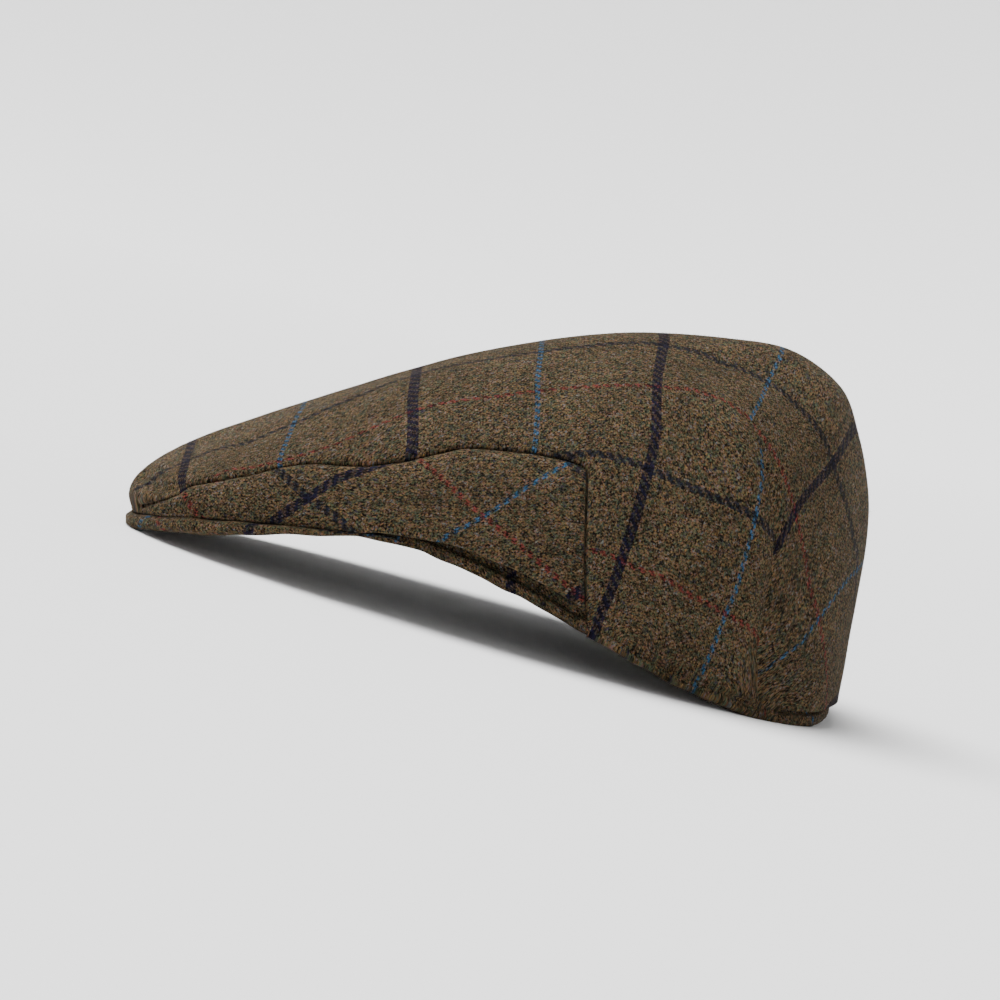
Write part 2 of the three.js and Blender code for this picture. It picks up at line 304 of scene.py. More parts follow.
# The crease in the crown above the front end of the left seam, and the dart at the left back
# corner, in pixels of the picture
CREASE_PIXELS = [(141, 478), (147, 483), (153, 487), (160, 490), (167, 491), (175, 489)]
DART_PIXELS = [
    (686, 363), (709, 378), (730, 395), (747, 417), (758, 444), (765, 487), (771, 510), (773, 530),
    (762, 603), (755, 650), (757, 691),
]


def finer(line, count):
    """A smooth line through the given points."""
    return spline(np.array(line)[None], np.linspace(0, 1, count)[None])[0]


CREASE = finer([under_pixel(x, y) for x, y in CREASE_PIXELS], 24)
DART_PLACES = np.array([under_pixel_place(x, y) for x, y in DART_PIXELS])
DART_RIDGE = finer(smooth_cloth(DART_PLACES[:, :1], DART_PLACES[:, 1:])[:, 0], 60)


# The cloth's folds, seams and unevenness

def waves(points, length, seed):
    """Smooth unevenness of about the given wave length, between -1 and 1."""
    turn = np.random.default_rng(seed)
    total = np.zeros(points.shape[:-1])
    count = 9
    for _ in range(count):
        way = turn.normal(size=3)
        way *= 2 * math.pi / (length * turn.uniform(0.75, 1.4)) / np.linalg.norm(way)
        total += np.sin(points @ way + turn.uniform(0, 2 * math.pi))
    return total / math.sqrt(count)


def seam_share(at):
    """Where a side panel's upper seam crosses each section, as a share of its length."""
    place = mirrored(at)
    step = np.interp(place, SEAM_LINE[:, 0], SEAM_STEPS).reshape(1, -1)
    drawn = spline(SEAM_LINE[None, :, 1:], step, even=True)[0, :, 0].reshape(place.shape)
    on_panel = (place >= SEAM_LINE[0, 0]) & (place <= SEAM_LINE[-1, 0])
    return np.where(on_panel, drawn, trait("seam", at))


def line_distance(line, points):
    """Distance of points on either half of the cap from a line on its left half."""
    x, y, z = np.moveaxis(points, -1, 0)
    folded = np.stack([x, -np.abs(y), z], axis=-1)
    nearest = np.full(points.shape[:-1], np.inf)
    for start, end in zip(line[:-1], line[1:]):
        way = end - start
        share = np.clip((folded - start) @ way / (way @ way), 0, 1)
        gap = folded - start - share[..., None] * way
        nearest = np.minimum(nearest, np.linalg.norm(gap, axis=-1))
    return nearest


seam_places = np.linspace(PANEL_START, PANEL_END, 90)
UPPER_SEAM = smooth_cloth(seam_places, np.minimum(seam_share(seam_places), 1)[:, None])[:, 0]
end_shares = np.linspace(seam_share(np.array([PANEL_END]))[0], 1, 24)
SIDE_SEAM = smooth_cloth(np.full(24, float(PANEL_END)), end_shares[:, None])[:, 0]


def dart_place(down):
    order = np.argsort(DART_PLACES[:, 1])
    return np.interp(down, DART_PLACES[order, 1], DART_PLACES[order, 0])


def leaning(at, down):
    """Places round the cap whose columns lean with the darts."""
    place = mirrored(at)[:, None]
    side = np.where(wrap(at) < 0.5, 1, -1)[:, None]
    near = 1 - smoothstep(np.abs(place - DART_AT), 0, 2)
    lean = (dart_place(down) - DART_AT) * smoothstep(down, 0.2, 0.45) * near
    return at[:, None] + lean * side


# Height, distance from the line and reach of each rise along a line in the cloth
UPPER_SEAM_DIP = ((0.35, 0, 4), (0.9, 0, 1.2))
SIDE_SEAM_DIP = ((0.35, 0, 4), (0.7, 0, 1.1))
DART_FOLD = ((0.9, 0, 6),)
DART_SEAM = ((0.6, 0, 1.1),)
DART_PAD = ((1, 7, 4.5),)
CREASE_DIP = ((1.3, 0, 2.4), (-0.7, 6, 4.5))
PAD_BEFORE_DART = 0.8
PAD_BEHIND_DART = 0.1


def rise(distance, shapes):
    return sum(height * bump(distance - offset, reach) for height, offset, reach in shapes)


def relief(at, down, points):
    """How far the cloth stands out from the smooth shape, and the seams pull it in."""
    to_seam = line_distance(UPPER_SEAM, points)
    to_dart = line_distance(DART_RIDGE, points)
    seam_dip = np.maximum(
        rise(to_seam, UPPER_SEAM_DIP), rise(line_distance(SIDE_SEAM, points), SIDE_SEAM_DIP)
    )
    crease = rise(line_distance(CREASE, points), CREASE_DIP)
    depth = smoothstep(down, 0.3, 0.55)
    seamed = smoothstep(down, 0.55, 0.7)
    behind = mirrored(at) > dart_place(down)
    fold = depth * rise(to_dart, DART_FOLD) + seamed * rise(to_dart, DART_SEAM)
    pad = depth * np.where(behind, PAD_BEHIND_DART, PAD_BEFORE_DART) * rise(to_dart, DART_PAD)
    uneven = 0.4 * waves(points, 55, 3) + 0.14 * waves(points, 22, 4)
    pucker = 0.2 * bump(to_seam, 8) * waves(points, 13, 5)
    gathers = 0.35 * smoothstep(down, 0.86, 1) * bump(to_dart, 16) * waves(points, 7, 6)
    lift = uneven * smoothstep(down, 0, 0.2) + pucker + gathers + pad
    return lift - seam_dip - fold - crease


# Placing in the resting frame, in metres

def tipped(points, angle=TILT):
    x, y, z = np.moveaxis(points, -1, 0)
    cos = math.cos(angle)
    sin = math.sin(angle)
    return np.stack([x * cos - z * sin, y, x * sin + z * cos], axis=-1)


sample_at = np.linspace(0, 2 * HALF, 161)[:-1]
sample_down = np.broadcast_to(np.linspace(0, 1, 61), (160, 61))
sample = tipped(smooth_cloth(sample_at, sample_down)) / 1000
crown_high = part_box("crown")[1]
SHIFT = np.array([
    crown_high[0] - sample[..., 0].max(),
    0,
    crown_high[2] - sample[..., 2].max(),
])


def place_points(points):
    placed = tipped(points) / 1000 + SHIFT
    placed[..., 2] = np.maximum(placed[..., 2], 0)
    return placed


# The check's lines on the left side of the cap as the picture shows them: the line's place in
# the cloth in millimetres, and pixels that it passes through. A weft line's place is counted
# back from the middle of the top, a warp line's out from the cap's middle.

TOP_WEFTS = {
    -174: [(193, 440), (186, 460), (183, 474)],
    -130.5: [(300, 410), (287, 435), (276, 460)],
    -87: [(415, 371), (409, 400), (408, 448)],
    -43.5: [(540, 345), (533, 380), (530, 445)],
    0: [(662, 336), (652, 387), (652, 432), (639, 479), (620, 543), (592, 616)],
    43.5: [(780, 348), (766, 375), (750, 407), (759, 445), (758, 478), (746, 534), (730, 588),
           (693, 676)],
    66: [(756, 688)],
}
TOP_WARPS = {
    24: [(133, 495), (165, 474), (243, 445), (302, 419), (357, 396), (426, 371), (488, 359),
         (560, 347), (600, 342), (650, 341), (688, 348), (718, 362), (745, 374)],
    59: [(225, 470), (330, 445), (410, 410), (500, 395), (595, 385), (650, 386), (690, 388),
         (720, 398), (742, 413)],
    94: [(540, 455), (585, 450), (628, 460), (671, 477), (707, 494), (744, 509), (768, 530)],
    129: [(590, 550), (629, 567), (682, 592), (714, 609), (752, 631)],
    151: [(605, 620), (656, 645), (720, 685)],
}
BACK_WEFTS = {
    0: [(662, 336), (652, 387)],
    43.5: [(780, 348), (766, 375), (750, 407)],
    87: [(853, 424), (824, 466), (795, 502), (774, 545)],
    130.5: [(857, 564), (830, 598), (796, 642), (766, 664)],
}
BACK_WARPS = {
    24: [(600, 342), (650, 341), (688, 348), (718, 362), (760, 380), (795, 406), (814, 427),
         (835, 479), (852, 536), (856, 551)],
    59: [(595, 385), (650, 386), (690, 388), (742, 413), (800, 551), (806, 580), (820, 635)],
}
PANEL_WEFTS = {
    0: [(273, 518), (304, 497), (332, 478), (384, 463)],
    43.5: [(437, 536), (466, 523), (493, 507), (519, 488), (562, 461)],
    87: [(565, 595), (587, 580)],
}
PANEL_WARPS = {
    -11: [(185, 495), (190, 512)],
    -46: [(276, 469), (301, 494), (335, 515)],
    -81: [(414, 457), (438, 477), (470, 507), (516, 544), (551, 573), (583, 602)],
}


def chart(points, values, ease=0.5):
    """A smooth value over the cloth that passes close to the given values."""
    points = np.array(points)
    count = len(points)
    near = np.linalg.norm(points[:, None] - points[None], axis=-1)
    flat = np.concatenate([np.ones((count, 1)), points], axis=1)
    system = np.zeros((count + 4, count + 4))
    system[:count, :count] = near - ease * np.eye(count)
    system[:count, count:] = flat
    system[count:, :count] = flat.T
    right = np.concatenate([values, np.zeros(4)])
    weights = np.linalg.lstsq(system, right, rcond=None)[0]

    def value(places):
        shape = places.shape[:-1]
        flat_places = places.reshape(-1, 3)
        total = weights[count] + flat_places @ weights[count + 1:]
        for point, weight in zip(points, weights[:count]):
            total = total + weight * np.linalg.norm(flat_places - point, axis=-1)
        return total.reshape(shape)

    return value


def centre_line():
    """Points down the middle of the cloth with their length back from the top weft line."""
    down = np.linspace(0, 1, 121)
    front = smooth_cloth(np.array([0.0]), down[None])[0][::-1]
    back = smooth_cloth(np.array([float(HALF)]), down[None])[0][1:]
    line = np.concatenate([front, back])
    length = np.concatenate([[0], np.cumsum(np.linalg.norm(np.diff(line, axis=0), axis=1))])
    zero = np.interp(21.6, line[:, 0], length)
    picked = np.linspace(0, len(line) - 1, 13).astype(int)
    return line[picked], (length - zero)[picked]


MIDDLE, MIDDLE_LENGTH = centre_line()

# Sections whose hem carries a chart on, and the share down where the chart is still sure
HEM_PROBE = 0.06
SEAM_PROBE = 0.05  # how far above the upper seam a chart is still sure
TOP_HEMS = [
    (0.3, 0.86, 1), (0.8, 0.86, 1), (5.1, 0.8, 1), (5.5, 0.82, 1), (6, 0.85, 1), (6.5, 0.85, 1),
]
for seam_at in (2.2, 2.8, 3.4, 4, 4.5):
    seam_down = float(seam_share(np.array([seam_at]))[0])
    TOP_HEMS.append((seam_at, seam_down - SEAM_PROBE, seam_down))
BACK_HEMS = [(7.3, 0.72, 1), (7.8, 0.78, 1), (8.5, 0.8, 1), (9.3, 0.82, 1)]


def both_halves(lines, sign, middle, hems):
    """Chart of one family of lines over both halves of the cap, carried on at an even rate
    where the cloth curls in at the hem."""
    points = list(MIDDLE)
    values = list(middle)

    def add(point, value):
        points.extend([point, point * (1, -1, 1)])
        values.extend([value, sign * value])

    for value, pixels in lines.items():
        for x, y in pixels:
            add(under_pixel(x, y), value)
    first = chart(points, values)
    for at, inner, edge in hems:
        down = np.array([[inner - HEM_PROBE, inner, (edge + inner) / 2, edge]])
        line = smooth_cloth(np.array([at]), down)[0]
        known = first(line)
        steps = np.linalg.norm(np.diff(line, axis=0), axis=1)
        slope = (known[1] - known[0]) / steps[0]
        add(line[2], known[1] + slope * steps[1])
        add(line[3], known[1] + slope * (steps[1] + steps[2]))
    return chart(points, values)


def one_panel(lines, side):
    points = [under_pixel(x, y) * (1, side, 1) for pixels in lines.values() for x, y in pixels]
    values = [value for value, pixels in lines.items() for _ in pixels]
    return chart(points, values, ease=3)


NO_LENGTH = 0 * MIDDLE_LENGTH
top_chart = (
    both_halves(TOP_WEFTS, 1, MIDDLE_LENGTH, TOP_HEMS),
    both_halves(TOP_WARPS, -1, NO_LENGTH, TOP_HEMS),
)
back_chart = (
    both_halves(BACK_WEFTS, 1, MIDDLE_LENGTH, BACK_HEMS),
    both_halves(BACK_WARPS, -1, NO_LENGTH, BACK_HEMS),
)


def charted(charts, points):
    return np.stack([c(points) for c in charts], axis=-1)


# Meshes

def make_object(name, points, faces, corners, material):
    """An object from points in metres, faces of indices and each corner's place in the cloth."""
    mesh = bpy.data.meshes.new(name)
    faces = np.asarray(faces)
    mesh.vertices.add(len(points))
    mesh.vertices.foreach_set("co", np.asarray(points, np.float32).ravel())
    sizes = np.full(len(faces), faces.shape[1])
    mesh.loops.add(faces.size)
    mesh.loops.foreach_set("vertex_index", faces.astype(np.int32).ravel())
    mesh.polygons.add(len(faces))
    mesh.polygons.foreach_set("loop_start", (np.cumsum(sizes) - sizes).astype(np.int32))
    mesh.polygons.foreach_set("loop_total", sizes.astype(np.int32))
    mesh.update(calc_edges=True)
    layer = mesh.uv_layers.new(name="cloth")
    layer.data.foreach_set("uv", np.asarray(corners, np.float32).ravel())
    mesh.validate()
    mesh.polygons.foreach_set("use_smooth", np.ones(len(mesh.polygons), bool))
    mesh.materials.append(material)
    obj = bpy.data.objects.new(name, mesh)
    bpy.context.scene.collection.objects.link(obj)
    return obj


def quads(index):
    """Quads over a grid of indices."""
    around = [index[:-1, :-1], index[:-1, 1:], index[1:, 1:], index[1:, :-1]]
    return np.stack(around, axis=-1).reshape(-1, 4)


def crowded(count, pull=0.6):
    """Shares from 0 to 1 that lie closer together at both ends."""
    s = np.linspace(0, 1, count + 1)
    return s - pull * np.sin(2 * math.pi * s) / (2 * math.pi)


def places_between(start, end, spacing, pull=0.6):
    """Places round the cap between two sections, evenly spaced along the side of the crown but
    closer together at both ends."""
    at = np.linspace(start, end, 400)
    line = smooth_cloth(at, np.full((400, 1), 0.8))[:, 0]
    length = np.concatenate([[0], np.cumsum(np.linalg.norm(np.diff(line, axis=0), axis=1))])
    count = max(2, round(length[-1] / spacing))
    return np.interp(crowded(count, pull) * length[-1], length, at)


def dressed(at, down):
    """Outside of the cloth, the smooth shape that it follows, and that shape's normals."""
    if np.ndim(at) == 1:
        at = np.broadcast_to(at[:, None], down.shape)
    smooth = smooth_cloth(at, down)
    normal = cloth_normal(at, down)
    return smooth + normal * relief(at, down, smooth)[..., None], smooth, normal


# Materials

class Nodes:
    """Short names for the shader nodes that the cloth is made of."""

    def __init__(self, tree):
        self.tree = tree

    def make(self, kind, **settings):
        node = self.tree.nodes.new(kind)
        for name, value in settings.items():
            setattr(node, name, value)
        return node

    def join(self, socket, value):
        if isinstance(value, bpy.types.NodeSocket):
            self.tree.links.new(value, socket)
        else:
            socket.default_value = value

    def math(self, operation, a, b=0.0):
        node = self.make("ShaderNodeMath", operation=operation)
        for socket, value in zip(node.inputs, (a, b)):
            self.join(socket, value)
        return node.outputs[0]

    def add(self, a, b):
        return self.math("ADD", a, b)

    def take(self, a, b):
        return self.math("SUBTRACT", a, b)

    def times(self, a, b):
        return self.math("MULTIPLY", a, b)

    def arch(self, value):
        """Rises from 0 to 1 and falls again while the value goes from 0 to 1."""
        return self.math("SINE", self.times(value, math.pi))

    def vector(self, x, y, z=0.0):
        node = self.make("ShaderNodeCombineXYZ")
        for socket, value in zip(node.inputs, (x, y, z)):
            self.join(socket, value)
        return node.outputs[0]

    def noise(self, place, scale, detail=1.0, rough=0.5):
        node = self.make("ShaderNodeTexNoise", noise_dimensions="3D")
        self.join(node.inputs["Vector"], place)
        node.inputs["Scale"].default_value = scale
        node.inputs["Detail"].default_value = detail
        node.inputs["Roughness"].default_value = rough
        return node.outputs["Fac"]

    def contrast(self, value, gain):
        """The value spread out round its middle."""
        return self.add(self.times(value, gain), 0.5 - 0.5 * gain)

    def random(self, place):
        node = self.make("ShaderNodeTexWhiteNoise", noise_dimensions="3D")
        self.join(node.inputs["Vector"], place)
        return node.outputs["Value"]

    def cells(self, place, size):
        """The middle of the small cube of cloth that a place lies in."""
        node = self.make("ShaderNodeVectorMath", operation="SNAP")
        self.join(node.inputs[0], place)
        node.inputs[1].default_value = (size, size, size)
        return node.outputs[0]

    def grey(self, value):
        return self.vector(value, value, value)

    def ramp(self, value, stops):
        node = self.make("ShaderNodeValToRGB")
        self.join(node.inputs[0], value)
        elements = node.color_ramp.elements
        while len(elements) < len(stops):
            elements.new(0.5)
        for element, (place, colour) in zip(elements, stops):
            element.position = place
            element.color = (*linear(colour), 1)
        return node.outputs[0]

    def mix(self, share, a, b, blend="MIX"):
        node = self.make("ShaderNodeMix", data_type="RGBA", blend_type=blend)
        self.join(node.inputs["Factor"], share)
        for name, value in (("A", a), ("B", b)):
            socket = next(s for s in node.inputs if s.name == name and s.type == "RGBA")
            self.join(socket, value)
        return next(s for s in node.outputs if s.type == "RGBA")


def linear(colour):
    """Linear values of a colour given in the 0 to 255 numbers of a picture."""
    return tuple(
        (c / 255 / 12.92) if c <= 10 else ((c / 255 + 0.055) / 1.055) ** 2.4 for c in colour
    )


YARN = 0.97  # millimetres from one yarn to the next
STRAY = 0.9  # how far the yarns stray from straight lines
WEFT_REPEAT = 90  # yarns from one navy line to the next
WARP_REPEAT = 72  # yarns from one dark line to the next
WARP_DARK_AT = 24 / YARN  # the first dark line, counted in yarns from the cap's middle
NAVY = (10, 12, 42)
BLUE = (34, 88, 124)
INK = (14, 24, 44)
RED = (122, 28, 40)

# Each line's first yarn, width in yarns, colour, and how strongly it shows where its own yarn
# lies on top and where it lies under
WARP_LINES = (
    (WARP_DARK_AT - 1.5, 3, INK, 0.84, 0.3),
    (WARP_DARK_AT + WARP_REPEAT / 2 - 1, 2, RED, 0.6, 0.06),
)
WEFT_LINES = (
    (-2, 4, NAVY, 0.92, 0.5),
    (WEFT_REPEAT / 2 - 1, 2, BLUE, 0.78, 0.12),
)

# The ground's brightness is a sum of fine grain, clumps of fibre and painted shade that follows the
# weave's height, darkening its hollows
FINE_LIGHT = 1.4
CLUMP_LIGHT = 0.45
# How strongly the weave's height darkens its hollows, as painted shade
WEAVE_PAINTED_SHADE = 0.7
LIGHT_LOSS = 0.98
LEAST_LIGHT = 0.04
CLOTH_LIGHT = 0.42  # how much of the yarns' own lightness the cloth shows
RELIEF_STRENGTH = 0.55
RELIEF_DEPTH = 0.00035
ROUGHNESS = 0.95
SPECULAR = 0.05
SHEEN = 0.03
SHEEN_ROUGHNESS = 0.5
SHEEN_TINT = (190, 175, 150)
HEATHER = [
    (0.00, (52, 46, 64)),
    (0.14, (76, 66, 58)),
    (0.26, (64, 80, 66)),
    (0.36, (92, 86, 50)),
    (0.45, (80, 71, 70)),
    (0.53, (124, 90, 44)),
    (0.61, (76, 83, 66)),
    (0.71, (122, 76, 54)),
    (0.82, (80, 92, 96)),
    (1.00, (116, 104, 78)),
]


def in_line(n, index, repeat, start, width):
    """1 where a yarn's number falls in a line of the check, and 0 elsewhere."""
    inside = n.math("FLOORED_MODULO", n.take(index, float(start)), float(repeat))
    return n.math("LESS_THAN", inside, float(width))


def tweed():
    material = bpy.data.materials.new("tweed")
    material.use_nodes = True
    tree = material.node_tree
    tree.nodes.clear()
    n = Nodes(tree)
    place = n.make("ShaderNodeUVMap", uv_map="cloth").outputs[0]
    split = n.make("ShaderNodeSeparateXYZ")
    n.join(split.inputs[0], place)
    stray_u = n.times(n.take(n.noise(place, 1.4, 2.0), 0.5), STRAY)
    stray_v = n.times(n.take(n.noise(place, 1.1, 2.0), 0.5), STRAY)
    u = n.math("DIVIDE", n.add(split.outputs[0], stray_u), YARN)
    v = n.math("DIVIDE", n.add(split.outputs[1], stray_v), YARN)
    weft = n.math("FLOOR", u)
    warp = n.math("FLOOR", v)
    across_u = n.math("FRACT", u)
    across_v = n.math("FRACT", v)

    # Two over, two under
    step = n.math("FLOORED_MODULO", n.take(warp, weft), 4.0)
    warp_up = n.math("LESS_THAN", step, 2.0)
    weft_up = n.take(1.0, warp_up)

    # Relief of the weave, which also gives painted shade in its hollows
    over_u = n.math("DIVIDE", n.add(step, across_u), 2.0)
    over_v = n.math("DIVIDE", n.add(n.take(step, 2.0), across_v), 2.0)
    warp_height = n.times(n.arch(across_v), n.arch(over_u))
    weft_height = n.times(n.arch(across_u), n.arch(over_v))
    weave = n.add(n.times(warp_up, warp_height), n.times(weft_up, weft_height))

    # Heather colours: streaks along the yarn that lies on top, and tufts that run over both
    along_u = n.vector(n.times(u, 0.4), n.times(warp, 3.7))
    along_v = n.vector(n.times(v, 0.4), n.times(weft, 5.3), 9.0)
    streak = n.mix(warp_up, n.grey(n.noise(along_v, 1.0)), n.grey(n.noise(along_u, 1.0)))
    tufts = n.noise(place, 0.3, 3.0, 0.75)
    flecks = n.random(n.cells(place, 0.6))
    tint = n.add(n.times(n.contrast(tufts, 2.6), 0.5), n.times(n.contrast(streak, 2.4), 0.3))
    tint = n.add(tint, n.times(flecks, 0.2))
    colour = n.ramp(n.contrast(tint, 1.5), HEATHER)

    # The check's lines, whose fibres stray a little over the yarns that cross them
    for index, up, repeat, lines in (
        (warp, warp_up, WARP_REPEAT, WARP_LINES), (weft, weft_up, WEFT_REPEAT, WEFT_LINES),
    ):
        for start, width, line_colour, on_top, under in lines:
            line = in_line(n, index, repeat, start, width)
            shows = n.add(n.times(up, on_top - under), under)
            colour = n.mix(n.times(line, shows), colour, (*linear(line_colour), 1))

    # Grain of the fibres, painted shade in the weave's hollows and uneven dyeing
    strayed = n.vector(n.times(u, YARN), n.times(v, YARN))
    fine = n.add(n.random(n.cells(strayed, 0.4)), n.random(n.cells(strayed, 0.66)))
    clumps = n.contrast(n.noise(place, 0.9, 2.0, 0.7), 2.0)
    light = n.add(n.times(fine, FINE_LIGHT), n.times(clumps, CLUMP_LIGHT))
    # Painted shade: the weave's hollows are darkened by its height
    light = n.take(n.add(light, n.times(weave, WEAVE_PAINTED_SHADE)), LIGHT_LOSS)
    light = n.times(n.math("MAXIMUM", light, LEAST_LIGHT), CLOTH_LIGHT)
    colour = n.mix(1.0, colour, n.grey(light), "MULTIPLY")
    patchy = n.ramp(n.noise(place, 0.05, 2.0), [(0.3, (222, 222, 222)), (0.7, (255, 255, 255))])
    colour = n.mix(1.0, colour, patchy, "MULTIPLY")

    height = n.add(n.times(weave, 0.6), n.times(n.times(fine, 0.5), 0.5))
    height = n.add(height, n.times(clumps, 0.6))
    bumps = n.make("ShaderNodeBump")
    bumps.inputs["Strength"].default_value = RELIEF_STRENGTH
    bumps.inputs["Distance"].default_value = RELIEF_DEPTH
    n.join(bumps.inputs["Height"], height)

    shader = n.make("ShaderNodeBsdfPrincipled")
    n.join(shader.inputs["Base Color"], colour)
    n.join(shader.inputs["Normal"], bumps.outputs[0])
    shader.inputs["Roughness"].default_value = ROUGHNESS
    shader.inputs["Specular IOR Level"].default_value = SPECULAR
    shader.inputs["Sheen Weight"].default_value = SHEEN
    shader.inputs["Sheen Roughness"].default_value = SHEEN_ROUGHNESS
    shader.inputs["Sheen Tint"].default_value = (*linear(SHEEN_TINT), 1)
    out = n.make("ShaderNodeOutputMaterial")
    n.join(out.inputs["Surface"], shader.outputs[0])
    return material


TWEED = tweed()


# Crown

SPACING = 1.6  # between columns of points
UPPER_ROWS = 85
LOWER_ROWS = 58
HEM_SHARE = 0.996  # share down the section where the crown's hem turns under
FRONT_HEM = 0.99  # the same at the front, over the lip
SEAM_TURN = 0.5  # radius of the turn at a seam
SEAM_TUCK = 2  # how far an edge runs back behind a seam
SEAM_EDGE = 0.88  # from the middle of a seam to where its turn begins
SIDE_GAP = 0.0145  # the same at the upright seam, in sections
TUCK = 5  # how far the hem runs up inside


def seam_half_gap(at):
    """Half of the upper seam's opening with the roundness of its edge, in shares down."""
    seam = np.minimum(seam_share(at), 1 - PROBE)[:, None]
    near = smooth_cloth(at, seam + PROBE) - smooth_cloth(at, seam - PROBE)
    return SEAM_EDGE * 2 * PROBE / np.linalg.norm(near[:, 0], axis=-1)


def turned_edge(last, before, normal, radius, tuck):
    """Rows of points that carry on from an edge, round and up inside, and the same rows
    spread out flat."""
    way = last - before
    way /= np.linalg.norm(way, axis=-1, keepdims=True)
    rows = []
    flat = []
    for angle in np.radians([30, 60, 90, 120, 150, 180]):
        rows.append(last + radius * (way * math.sin(angle) - normal * (1 - math.cos(angle))))
        flat.append(last + radius * angle * way)
    for share in (0.4, 1):
        rows.append(last - 2 * radius * normal - way * tuck * share)
        flat.append(last + (radius * math.pi + tuck * share) * way)
    return np.stack(rows, axis=1), np.stack(flat, axis=1)


front_right = places_between(-PANEL_END, -PANEL_START, SPACING)
front_middle = places_between(-PANEL_START, PANEL_START, SPACING)
front_left = places_between(PANEL_START, PANEL_END, SPACING)
back_left = np.concatenate([
    places_between(PANEL_END, DART_AT, SPACING),
    places_between(DART_AT, HALF, SPACING)[1:],
])
back_right = 2 * HALF - back_left[::-1]
front_at = np.concatenate([front_right, front_middle[1:], front_left[1:]])
back_at = np.concatenate([back_left, back_right[1:]])
ring_at = np.concatenate([front_at[:-1], back_at[:-1]])


def dart_side_weight(at, down, behind):
    """Share of the back's chart at cloth places, for faces behind a dart or in front of it."""
    place = mirrored(at)[:, None]
    split = smoothstep(down, 0.25, 0.42)
    width = 1.5 * (1 - split) + 1e-3
    soft = smoothstep((place - DART_AT) / width, -1, 1)
    return soft * (1 - split) + (1.0 if behind else 0.0) * split


def crown_corners(points, at, down):
    """Places in the cloth at each point, as they are for faces in front of a dart and behind it."""
    top = charted(top_chart, points)
    back = charted(back_chart, points)
    return [
        top + (back - top) * dart_side_weight(at, down, behind)[..., None] for behind in (False, True)
    ]


class Sewn:
    """Grids of points that are sewn into one mesh. Each grid keeps its places in the cloth."""

    def __init__(self):
        self.points = []
        self.flat = []
        self.at = []
        self.down = []
        self.faces = []
        self.behind = []
        self.count = 0

    def add(self, points, at, down=1.0, flat=None):
        shape = points.shape[:2]
        grid = self.count + np.arange(shape[0] * shape[1]).reshape(shape)
        self.count += grid.size
        self.points.append(points.reshape(-1, 3))
        self.flat.append((points if flat is None else flat).reshape(-1, 3))
        self.at.append(np.broadcast_to(np.reshape(at, (-1, 1)), shape).ravel())
        self.down.append(np.broadcast_to(down, shape).ravel())
        return grid

    def sew(self, grid, behind=False):
        made = quads(grid)
        self.faces.append(made)
        self.behind.append(np.broadcast_to(behind, len(made)))

    def all(self, name):
        return np.concatenate(getattr(self, name))


COVER_ROWS = 22
COVER_END = 7.25  # section where the crown's cloth stops covering the band's roll
COVER_EASE = 0.06
COVER_UNEVEN = 0.3

# Points of the cloth over the roll: outwards from the band, share of the roll's height, and rise
COVER_KNOTS = (
    (-0.3, 1.03, 0), (-0.05, 0.86, 0), (0.12, 0.5, 0), (0, 0.2, 0), (-0.6, 0, -0.2),
    (-2.0, 0, -0.42), (-4.0, 0, 0), (-4.6, 0, 2.5),
)


def over_the_roll(at):
    """How fully the crown's cloth covers the band's roll, going towards the back."""
    return 1 - smoothstep(mirrored(at), COVER_END - COVER_EASE, COVER_END + COVER_EASE)


def lower_edge(at, last, tuck):
    """Rows that carry the crown's cloth on from its lower edge: down over the roll of the band
    at the sides, and turned straight up inside at the back."""
    line, out = with_outwards(band_line, at)
    roll = BAND_SHOWS * trait("show", at) - SEAM_GAP
    knots = [last]
    for outwards, share, lift in COVER_KNOTS:
        knot = line + out * outwards
        knot[:, 2] += roll * share + lift
        knots.append(knot)
    covering = np.stack(knots, axis=1)
    covering[:, 2:7, 2] += COVER_UNEVEN * waves(covering[:, 2:7], 12, 8)
    straight = np.concatenate([last[:, None], tuck], axis=1)
    share = over_the_roll(at)[:, None, None]
    knots = covering * share + straight * (1 - share)
    steps = np.broadcast_to(np.linspace(0, 1, COVER_ROWS + 1)[1:], (len(at), COVER_ROWS))
    return spline(knots, steps)


